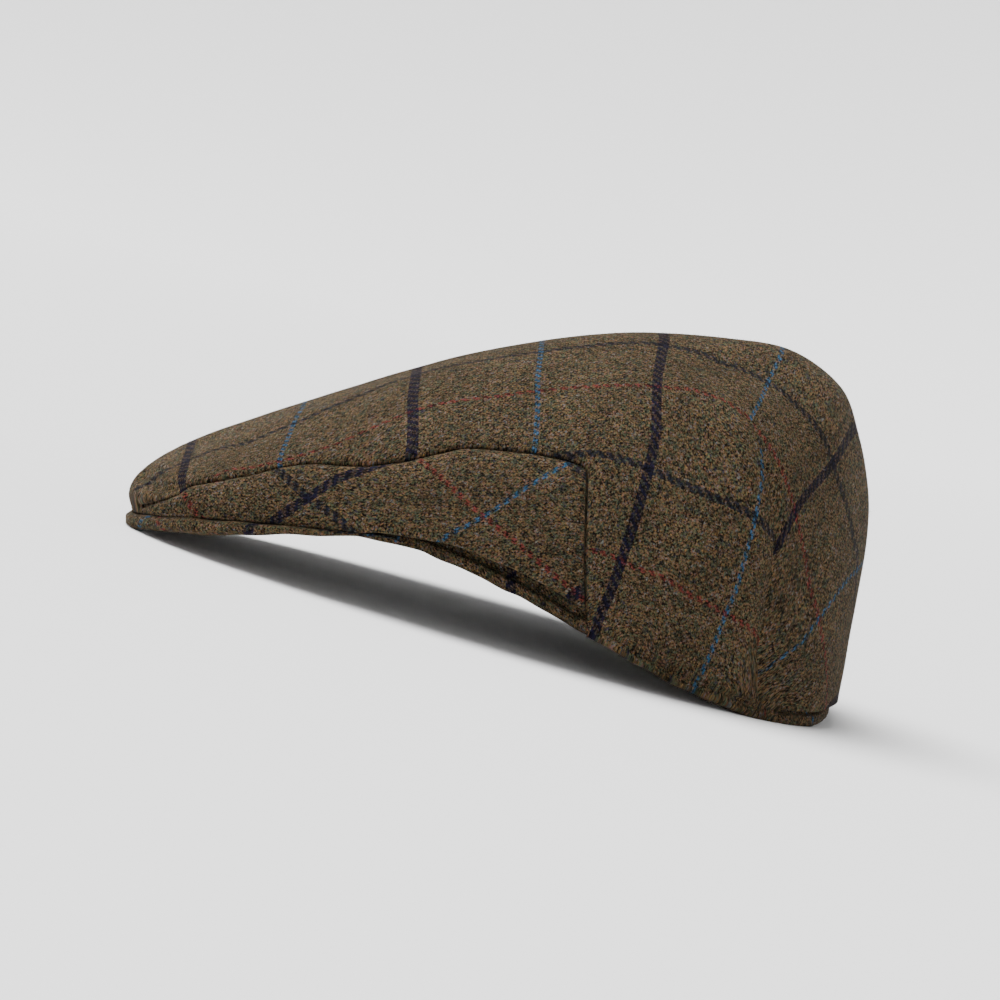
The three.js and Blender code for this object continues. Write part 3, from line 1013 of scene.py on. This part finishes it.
def crown():
    seam = np.minimum(seam_share(ring_at), 1)
    place = mirrored(ring_at)
    gap = np.where(place < PANEL_END - 1e-6, seam_half_gap(ring_at), 0)
    end = np.where(place <= PANEL_START + 1e-6, FRONT_HEM, seam - gap)
    ease = np.linspace(0, 1, UPPER_ROWS) ** 0.9
    down = end[:, None] * (1 - (1 - ease) ** 1.15)
    upper, upper_flat, normal = dressed(leaning(ring_at, down), down)
    tuck, tuck_flat = turned_edge(
        upper[:, -1], upper[:, -2], normal[:, -1], SEAM_TURN, SEAM_TUCK
    )
    tuck_flat += upper_flat[:, -1:] - upper[:, -1:]

    back_seam = seam_share(back_at)
    lower_down = back_seam[:, None] + (HEM_SHARE - back_seam)[:, None] * crowded(LOWER_ROWS)
    side = np.where(wrap(back_at) < 0.5, 1, -1)[:, None]
    close = 1 - smoothstep(np.abs(mirrored(back_at) - PANEL_END), 0, 0.4)[:, None]
    opened = SIDE_GAP * close * smoothstep(lower_down - back_seam[:, None], 0, 0.02)
    lower_at = leaning(back_at, lower_down) + side * opened
    lower, lower_flat, lower_normal = dressed(lower_at, lower_down)
    tuck_up, _ = turned_edge(lower[:, -1], lower[:, -2], lower_normal[:, -1], SEAM_TURN, TUCK)
    cover = lower_edge(back_at, lower[:, -1], tuck_up)
    lowered = lower_flat - lower
    lower = np.concatenate([lower, cover], axis=1)
    lower_flat = np.concatenate([lower_flat, cover + lowered[:, -1:]], axis=1)
    cover_down = np.concatenate([lower_down, np.ones((len(back_at), COVER_ROWS))], axis=1)

    sewn = Sewn()
    upper_grid = sewn.add(upper, ring_at, down, upper_flat)
    tuck_grid = sewn.add(tuck, ring_at, flat=tuck_flat)
    lower_grid = sewn.add(lower[:, 1:], back_at, cover_down[:, 1:], lower_flat[:, 1:])
    wrapped = np.concatenate([upper_grid, upper_grid[:1]])
    wrapped_at = np.concatenate([ring_at, [2 * HALF - PANEL_END]])
    sewn.sew(wrapped, behind_dart(wrapped_at, wrapped.shape[1]))
    back_columns = np.concatenate([np.arange(len(front_at) - 1, len(ring_at)), [0]])
    back_grid = np.concatenate([upper_grid[back_columns, -1:], lower_grid], axis=1)
    sewn.sew(back_grid, behind_dart(back_at, back_grid.shape[1]))
    front_columns = np.arange(len(front_at))
    sewn.sew(np.concatenate([upper_grid[front_columns, -1:], tuck_grid[front_columns]], axis=1))

    rows = slice(1, lower_normal.shape[1])
    for edge, before, at in ((0, 1, PANEL_END), (-1, -2, -PANEL_END)):
        turned, flat = turned_edge(lower[edge, rows], lower[before, rows],
                                   lower_normal[edge, rows], SEAM_TURN, SEAM_TUCK)
        flat += lowered[edge, rows, None]
        turned_grid = sewn.add(turned, np.full(len(turned), at), lower_down[0, rows, None], flat)
        joined = np.concatenate([lower_grid[edge, : len(turned), None], turned_grid], axis=1)
        sewn.sew(joined if edge == 0 else joined[::-1])

    points = sewn.all("points")
    flat = sewn.all("flat")[:, None]
    before, after = crown_corners(flat, sewn.all("at"), sewn.all("down")[:, None])
    faces = sewn.all("faces")
    behind = sewn.all("behind")[:, None, None]
    corners = np.where(behind, after[:, 0][faces], before[:, 0][faces])
    return make_object("crown_cloth", place_points(points), faces, corners.reshape(-1, 2), TWEED)


def behind_dart(at, rows):
    """True for the faces of a grid that lie behind a dart."""
    middle = mirrored((at[:-1] + at[1:]) / 2) > DART_AT
    return np.repeat(middle, rows - 1)


def merge_close(obj):
    edit = bmesh.new()
    edit.from_mesh(obj.data)
    bmesh.ops.remove_doubles(edit, verts=edit.verts, dist=2e-6)
    edit.to_mesh(obj.data)
    edit.free()


INSIDE_COLUMNS = 161
INSIDE_ROWS = 51


def crown_inside():
    """The inside of the crown's cloth."""
    at = np.linspace(0, 2 * HALF, INSIDE_COLUMNS)
    down = panel_edge(at)[:, None] * np.linspace(0, 1, INSIDE_ROWS)
    points = smooth_cloth(at, down) - cloth_normal(at, down) * CLOTH_WALL
    index = np.arange(down.size).reshape(down.shape)
    faces = quads(index)[:, ::-1]
    flat_points = points.reshape(-1, 3)
    corners = charted(top_chart, flat_points)[faces].reshape(-1, 2)
    return make_object("crown_inside", place_points(flat_points), faces, corners, TWEED)


PANEL_ROWS = 64
FLARE = 1.2  # how far a side panel's lower edge stands out over the band behind it
FLARE_RISE = 0.12  # how far above the edge, in shares down, that starts
EDGE_TURN = 1.0  # radius that this edge is turned under by
EDGE_TUCK = 2.5
BAND_SET_BACK = 6.5  # how far the band lies in behind that edge


def under_panel(at):
    """How fully each place lies where the band shows below a side panel."""
    place = mirrored(at)
    leaving = smoothstep(place, PANEL_END - 0.35, PANEL_END - 0.02)
    return smoothstep(place, PEAK_END, PEAK_END + 0.7) * (1 - leaving)


def side_panel(side):
    at = front_left.copy()
    at[-1] -= SIDE_GAP
    start = np.minimum(seam_share(at) + seam_half_gap(at), PANEL_END_SHARE)
    stop = panel_edge(at)
    down = start[:, None] + (stop - start)[:, None] * crowded(PANEL_ROWS)
    outer, smooth, normal = dressed(side * at, down)
    low = smoothstep(down - stop[:, None], -FLARE_RISE, 0)
    outer += normal * (FLARE * under_panel(at)[:, None] * low)[..., None]
    edge, edge_flat = turned_edge(
        outer[:, -1], outer[:, -2], normal[:, -1], EDGE_TURN, EDGE_TUCK
    )
    top, top_flat = turned_edge(outer[:, 0], outer[:, 1], normal[:, 0], SEAM_TURN, SEAM_TUCK)
    end, end_flat = turned_edge(outer[-1], outer[-2], normal[-1], SEAM_TURN, SEAM_TUCK)
    sewn = Sewn()
    lowered = smooth - outer
    top_flat += lowered[:, :1]
    edge_flat += lowered[:, -1:]
    end_flat += lowered[-1][:, None]
    flat = np.concatenate([top_flat[:, ::-1], smooth, edge_flat], axis=1)
    grid = sewn.add(np.concatenate([top[:, ::-1], outer, edge], axis=1), at, flat=flat)
    end_grid = sewn.add(end, end[:, 0, 0], flat=end_flat)
    rows = slice(top.shape[1], top.shape[1] + outer.shape[1])
    joined = np.concatenate([grid[-1, rows, None], end_grid], axis=1)[::-1].T
    sewn.sew(grid)
    sewn.sew(joined[:, ::-1])
    faces = sewn.all("faces")
    if side < 0:
        faces = faces[:, ::-1]
    points = sewn.all("points")
    charts = [one_panel(lines, side) for lines in (PANEL_WEFTS, PANEL_WARPS)]
    corners = charted(charts, sewn.all("flat"))[faces].reshape(-1, 2)
    name = "side_panel_left_cloth" if side > 0 else "side_panel_right_cloth"
    return make_object(name, place_points(points), faces, corners, TWEED)


# Peak and rim band

def edge_line(at):
    """The crown's lower edge for each place, as a plain line."""
    return smooth_cloth(at, np.ones((len(at), 1)))[:, 0]


def band_line(at):
    share = 1 - trait("inset", at)
    line = edge_line(at) * np.stack([share, share, np.ones_like(share)], axis=-1)
    line[:, 2] -= BAND_SHOWS * trait("show", at)
    return line


def with_outwards(curve, at):
    """A curve's points, and the level way outwards at each."""
    way = curve(at + PROBE) - curve(at - PROBE)
    way[:, 2] = 0
    way /= np.linalg.norm(way, axis=1, keepdims=True)
    out = np.stack([way[:, 1], -way[:, 0], np.zeros(len(at))], axis=1)
    return curve(at), out


def round_profile(knots, count):
    """Evenly spaced points on a smooth curve through the knots."""
    knots = np.array([[(*k, 0.0) for k in knots]])
    fine = spline(knots, np.linspace(0, 1, 600)[None])[0][:, :2]
    length = np.concatenate([[0], np.cumsum(np.linalg.norm(np.diff(fine, axis=0), axis=1))])
    wanted = np.linspace(0, length[-1], count)
    return np.stack([np.interp(wanted, length, fine[:, k]) for k in (0, 1)], axis=1)


def arc_length(profiles):
    """Length along each row of points, from its start."""
    steps = np.linalg.norm(np.diff(profiles, axis=1), axis=2)
    return np.concatenate([np.zeros((len(profiles), 1)), np.cumsum(steps, axis=1)], axis=1)


BAND_POINTS = 64
ROLL_OUT = CLOTH_WALL + SEAM_GAP
COVERED_SET_BACK = 0.5  # how far the roll lies in where the crown's cloth covers it
BAND_CLOTH = 20  # place in the cloth of the band's first column


def band_profile(show):
    roll = BAND_SHOWS * show - SEAM_GAP
    knots = [
        (-BAND_LEAN - BAND_WALL, BAND_HEIGHT - 0.6),
        (-BAND_WALL - 1.2, BAND_HEIGHT * 0.45),
        (-BAND_WALL, roll * 0.45),
        (-BAND_WALL * 0.55, roll * 0.07),
        (0.2, 0),
        (ROLL_OUT * 0.62, roll * 0.05),
        (ROLL_OUT * 0.97, roll * 0.28),
        (ROLL_OUT, roll * 0.62),
        (ROLL_OUT * 0.86, roll * 0.94),
        (ROLL_OUT * 0.3, roll),
        (0, roll * 1.1),
        (-BAND_LEAN * 0.45, BAND_HEIGHT * 0.5),
        (-BAND_LEAN, BAND_HEIGHT - 0.6),
        (-BAND_LEAN - BAND_WALL / 2, BAND_HEIGHT),
        (-BAND_LEAN - BAND_WALL, BAND_HEIGHT - 0.6),
    ]
    return round_profile(knots, BAND_POINTS)


def rim_band():
    at = np.concatenate([
        places_between(-PANEL_END, PANEL_END, 1.5, pull=0)[:-1],
        places_between(PANEL_END, 2 * HALF - PANEL_END, 1.5, pull=0)[:-1],
    ])
    line, out = with_outwards(band_line, at)
    shows = trait("show", at)
    profiles = np.stack([band_profile(show) for show in shows])
    covered = over_the_roll(at) * smoothstep(mirrored(at), PANEL_END - 0.02, PANEL_END)
    set_back = COVERED_SET_BACK * covered + BAND_SET_BACK * under_panel(at)
    outwards = profiles[..., 0] - ROLL_OUT - set_back[:, None]
    upwards = profiles[..., 1]
    points = line[:, None] + out[:, None] * outwards[..., None]
    points[..., 2] += upwards
    roll = (upwards < BAND_SHOWS) & (profiles[..., 0] > 0)
    points[..., 2] += np.where(roll, 0.18 * waves(points, 9, 11), 0)
    points += out[:, None] * np.where(roll, 0.22 * waves(points, 7, 12), 0)[..., None]
    along = np.broadcast_to(arc_length(line[None]).T, upwards.shape)
    strip = np.stack([along + BAND_CLOTH, arc_length(profiles)], axis=-1)
    count = len(at)
    index = np.arange(count * BAND_POINTS).reshape(count, BAND_POINTS)
    index = np.concatenate([index, index[:1]])
    faces = quads(index)[:, ::-1]
    corners = strip.reshape(-1, 2)[faces].reshape(-1, 2)
    return make_object("rim_band_cloth", place_points(points.reshape(-1, 3)), faces, corners, TWEED)


PEAK_POINTS = 48
PEAK_LEAST = 0.8  # thickness where the lip ends
LIP_END = 3.85  # section where the lip has tapered away into the side panel's edge
LIP_CLOTH = (31, 9)  # place in the cloth of the lip's middle


def peak():
    at = places_between(-LIP_END, LIP_END, 1.3, pull=0.2)
    thinning = smoothstep(np.abs(at), PEAK_TAPER, PEAK_END)
    fading = 1 - smoothstep(np.abs(at), PEAK_END - 0.2, LIP_END)
    thickness = PEAK_THICKNESS + (PEAK_TIP_THICKNESS - PEAK_THICKNESS) * thinning
    thickness = PEAK_LEAST + (thickness - PEAK_LEAST) * fading
    edge, out = with_outwards(edge_line, at)
    lip = edge + out * (LIP_PROUD * fading + 0.1 * (1 - fading))[:, None]
    band, band_out = with_outwards(band_line, at)
    inner = band + band_out * SEAM_GAP
    back = inner - lip
    back[:, 2] = 0
    width = np.linalg.norm(back, axis=1)
    back /= width[:, None]
    top = edge[:, 2] - SEAM_GAP
    rows = []
    for w, t in zip(width, thickness):
        r = min(LIP_ROUND, t / 2.5, w / 3)
        flat = min(r + 2.5, w * 0.5)
        knots = [
            (w, t), (w * 0.6, t), (flat, t), (r * 0.8, t - 0.1), (0.15 * r, t - r * 0.75),
            (0, t * 0.5), (0.1 * r, r * 0.6), (r * 0.9, 0.05), (flat, 0), (w * 0.6, 0.1), (w, 0.2),
        ]
        rows.append(round_profile(knots, PEAK_POINTS))
    section = np.stack(rows)
    points = lip[:, None] + back[:, None] * section[..., :1]
    points[..., 2] = top[:, None] - section[..., 1]
    puffed = 0.35 * waves(points, 26, 21) + 0.2 * waves(points, 9, 22)
    points += out[:, None] * (bump(section[..., 0], 3) * puffed)[..., None]
    points[..., 2] += 0.2 * waves(points, 18, 23)
    length = arc_length(section)
    wrapped = length - length[:, :1] - width[:, None]
    spread = lip[:, None] + out[:, None] * wrapped[..., None]
    drawn = np.stack([spread[..., 0] + LIP_CLOTH[0], -spread[..., 1] + LIP_CLOTH[1]], axis=-1)
    index = np.arange(points.shape[0] * points.shape[1]).reshape(points.shape[:2])
    faces = quads(index)[:, ::-1]
    corners = drawn.reshape(-1, 2)[faces].reshape(-1, 2)
    return make_object("peak_cloth", place_points(points.reshape(-1, 3)), faces, corners, TWEED)


FUZZ_LONG = 1.0  # usual length of a loose fibre
FUZZ_SPREAD = 0.35  # how much the lengths differ
FUZZ_THICK = 0.035
FUZZ_ROOT = 0.15  # how deep a fibre starts
FUZZ_STEEP = (0.25, 0.9)
FUZZ_FACES = np.array([[0, 1, 3], [1, 2, 3], [2, 0, 3], [2, 1, 0]])


def fuzz(name, cloth, count, seed):
    """Loose fibres that stand off a cloth, each a slender spike with the cloth's own colour."""
    draw = np.random.default_rng(seed)
    mesh = cloth.data
    mesh.calc_loop_triangles()
    corners = np.zeros(len(mesh.loop_triangles) * 3, np.int32)
    loops = np.zeros_like(corners)
    mesh.loop_triangles.foreach_get("vertices", corners)
    mesh.loop_triangles.foreach_get("loops", loops)
    places = np.zeros(len(mesh.vertices) * 3, np.float32)
    mesh.vertices.foreach_get("co", places)
    inked = np.zeros(len(mesh.loops) * 2, np.float32)
    mesh.uv_layers["cloth"].data.foreach_get("uv", inked)
    triangles = places.reshape(-1, 3)[corners.reshape(-1, 3)].astype(float) * 1000
    charts = inked.reshape(-1, 2)[loops.reshape(-1, 3)]
    across = np.cross(triangles[:, 1] - triangles[:, 0], triangles[:, 2] - triangles[:, 0])
    area = np.linalg.norm(across, axis=1)
    picked = draw.choice(len(area), count, p=area / area.sum())
    share = np.sqrt(draw.random((count, 1)))
    turn = draw.random((count, 1))
    weights = np.concatenate([1 - share, share * (1 - turn), share * turn], axis=1)
    root = np.einsum("nk,nkc->nc", weights, triangles[picked])
    chart_place = np.einsum("nk,nkc->nc", weights, charts[picked])
    up = across[picked] / area[picked, None]
    lean = draw.normal(size=(count, 3))
    lean -= up * np.einsum("nc,nc->n", lean, up)[:, None]
    lean /= np.linalg.norm(lean, axis=1, keepdims=True)
    side = np.cross(up, lean)
    length = FUZZ_LONG * draw.lognormal(0, FUZZ_SPREAD, (count, 1))
    steep = draw.uniform(*FUZZ_STEEP, (count, 1))
    tip = root + length * (up * steep + lean * np.sqrt(1 - steep**2))
    base = root - FUZZ_ROOT * up
    ring = [
        base + FUZZ_THICK * (side * math.cos(turned) + up * math.sin(turned))
        for turned in np.radians([0, 120, 240])
    ]
    points = np.stack([*ring, tip], axis=1)
    index = np.arange(count)[:, None, None] * points.shape[1]
    faces = (index + FUZZ_FACES).reshape(-1, 3)
    uv = np.repeat(chart_place, FUZZ_FACES.size, axis=0)
    spikes = points.reshape(-1, 3) / 1000
    spikes[:, 2] = np.maximum(spikes[:, 2], 0)
    fibres = make_object(name, spikes, faces, uv, TWEED)
    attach(fibres, "root")


FUZZ_COUNTS = {
    "crown_cloth": 16000,
    "side_panel_left_cloth": 2500,
    "side_panel_right_cloth": 2500,
    "peak_cloth": 2500,
    "rim_band_cloth": 1500,
}


FIRST_SEED = 40


def all_pieces():
    shell = crown()
    merge_close(shell)
    lining = crown_inside()
    merge_close(lining)
    pieces = [
        (shell, "crown"), (lining, None), (side_panel(1), "side_panel_left"),
        (side_panel(-1), "side_panel_right"), (peak(), "peak"), (rim_band(), "rim_band"),
    ]
    for piece, node in pieces:
        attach(piece, "root")
        if node:
            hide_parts(node)
    for seed, (piece, _) in enumerate(pieces, FIRST_SEED):
        if piece.name in FUZZ_COUNTS:
            fuzz(piece.name.replace("_cloth", "_fuzz"), piece, FUZZ_COUNTS[piece.name], seed)


all_pieces()


# Camera, floor and lights

SENSOR = 36
eye, right, up = (Vector(tipped(way, PICTURE_TILT)) for way in (EYE, RIGHT, UP))
middle = Vector(place_points(np.zeros((1, 3)))[0])
half_frame = PICTURE_SIZE / 2
aim = middle + right * ((half_frame - PICTURE_ORIGIN[0]) * PICTURE_SCALE / 1000)
aim += up * ((PICTURE_ORIGIN[1] - half_frame) * PICTURE_SCALE / 1000)
camera_data = bpy.data.cameras.new("camera")
camera_data.sensor_width = SENSOR
camera_data.lens = SENSOR * PICTURE_DISTANCE / (PICTURE_SIZE * PICTURE_SCALE)
camera_data.clip_end = 60
camera = bpy.data.objects.new("camera", camera_data)
bpy.context.scene.collection.objects.link(camera)
camera.matrix_world = Matrix((
    (right.x, up.x, eye.x, 0),
    (right.y, up.y, eye.y, 0),
    (right.z, up.z, eye.z, 0),
    (0, 0, 0, 1),
))
camera.location = aim + eye * (PICTURE_DISTANCE / 1000)
bpy.context.scene.camera = camera


FLOOR_RADIUS = 2.6
SWEEP_RADIUS = 1.6
FLOOR_TURNS = 96
FLOOR_GREY = 0.84
FLOOR_ROUGHNESS = 0.9


def floor_sweep():
    """A round pale floor that curves up all round into a low wall."""
    profile = [(0.0, 0.0), (0.5, 0.0), (FLOOR_RADIUS, 0.0)]
    for angle in np.linspace(0, math.pi / 2, 25)[1:]:
        profile.append((
            FLOOR_RADIUS + SWEEP_RADIUS * math.sin(angle),
            SWEEP_RADIUS * (1 - math.cos(angle)),
        ))
    points = [
        (r * math.cos(t), r * math.sin(t), z)
        for t in np.linspace(0, 2 * math.pi, FLOOR_TURNS + 1)[:-1]
        for r, z in profile
    ]
    count = len(profile)
    index = np.arange(FLOOR_TURNS * count).reshape(FLOOR_TURNS, count)
    index = np.concatenate([index, index[:1]])
    faces = quads(index)
    corners = np.zeros((faces.size, 2))
    material = bpy.data.materials.new("floor")
    material.use_nodes = True
    shader = material.node_tree.nodes["Principled BSDF"]
    shader.inputs["Base Color"].default_value = (FLOOR_GREY, FLOOR_GREY, FLOOR_GREY, 1)
    shader.inputs["Roughness"].default_value = FLOOR_ROUGHNESS
    return make_object("floor", np.array(points), faces[:, ::-1], corners, material)


floor_sweep()


def light(name, kind, way, power):
    """A light that shines the given way."""
    data = bpy.data.lights.new(name, kind)
    data.energy = power
    lamp = bpy.data.objects.new(name, data)
    lamp.rotation_mode = "QUATERNION"
    lamp.rotation_quaternion = way.to_track_quat("-Z", "Y")
    bpy.context.scene.collection.objects.link(lamp)
    return lamp


FRONT_PLACE = Vector((-1.6, -0.9, 1.1))
FRONT_AIM = Vector((0, 0, 0.06))
FRONT_POWER = 3
SKY_WAY = Vector((0.5, -0.06, -1))
SKY_POWER = 7.9
SKY_ANGLE = math.radians(50)
WORLD_POWER = 0.35

front = light("front", "AREA", FRONT_AIM - FRONT_PLACE, FRONT_POWER)
front.location = FRONT_PLACE
front.data.shape = "DISK"
front.data.size = 1
light("sky", "SUN", SKY_WAY, SKY_POWER).data.angle = SKY_ANGLE
world = bpy.data.worlds.new("world")
world.use_nodes = True
world.node_tree.nodes["Background"].inputs[0].default_value = (1, 1, 1, 1)
world.node_tree.nodes["Background"].inputs[1].default_value = WORLD_POWER
bpy.context.scene.world = world
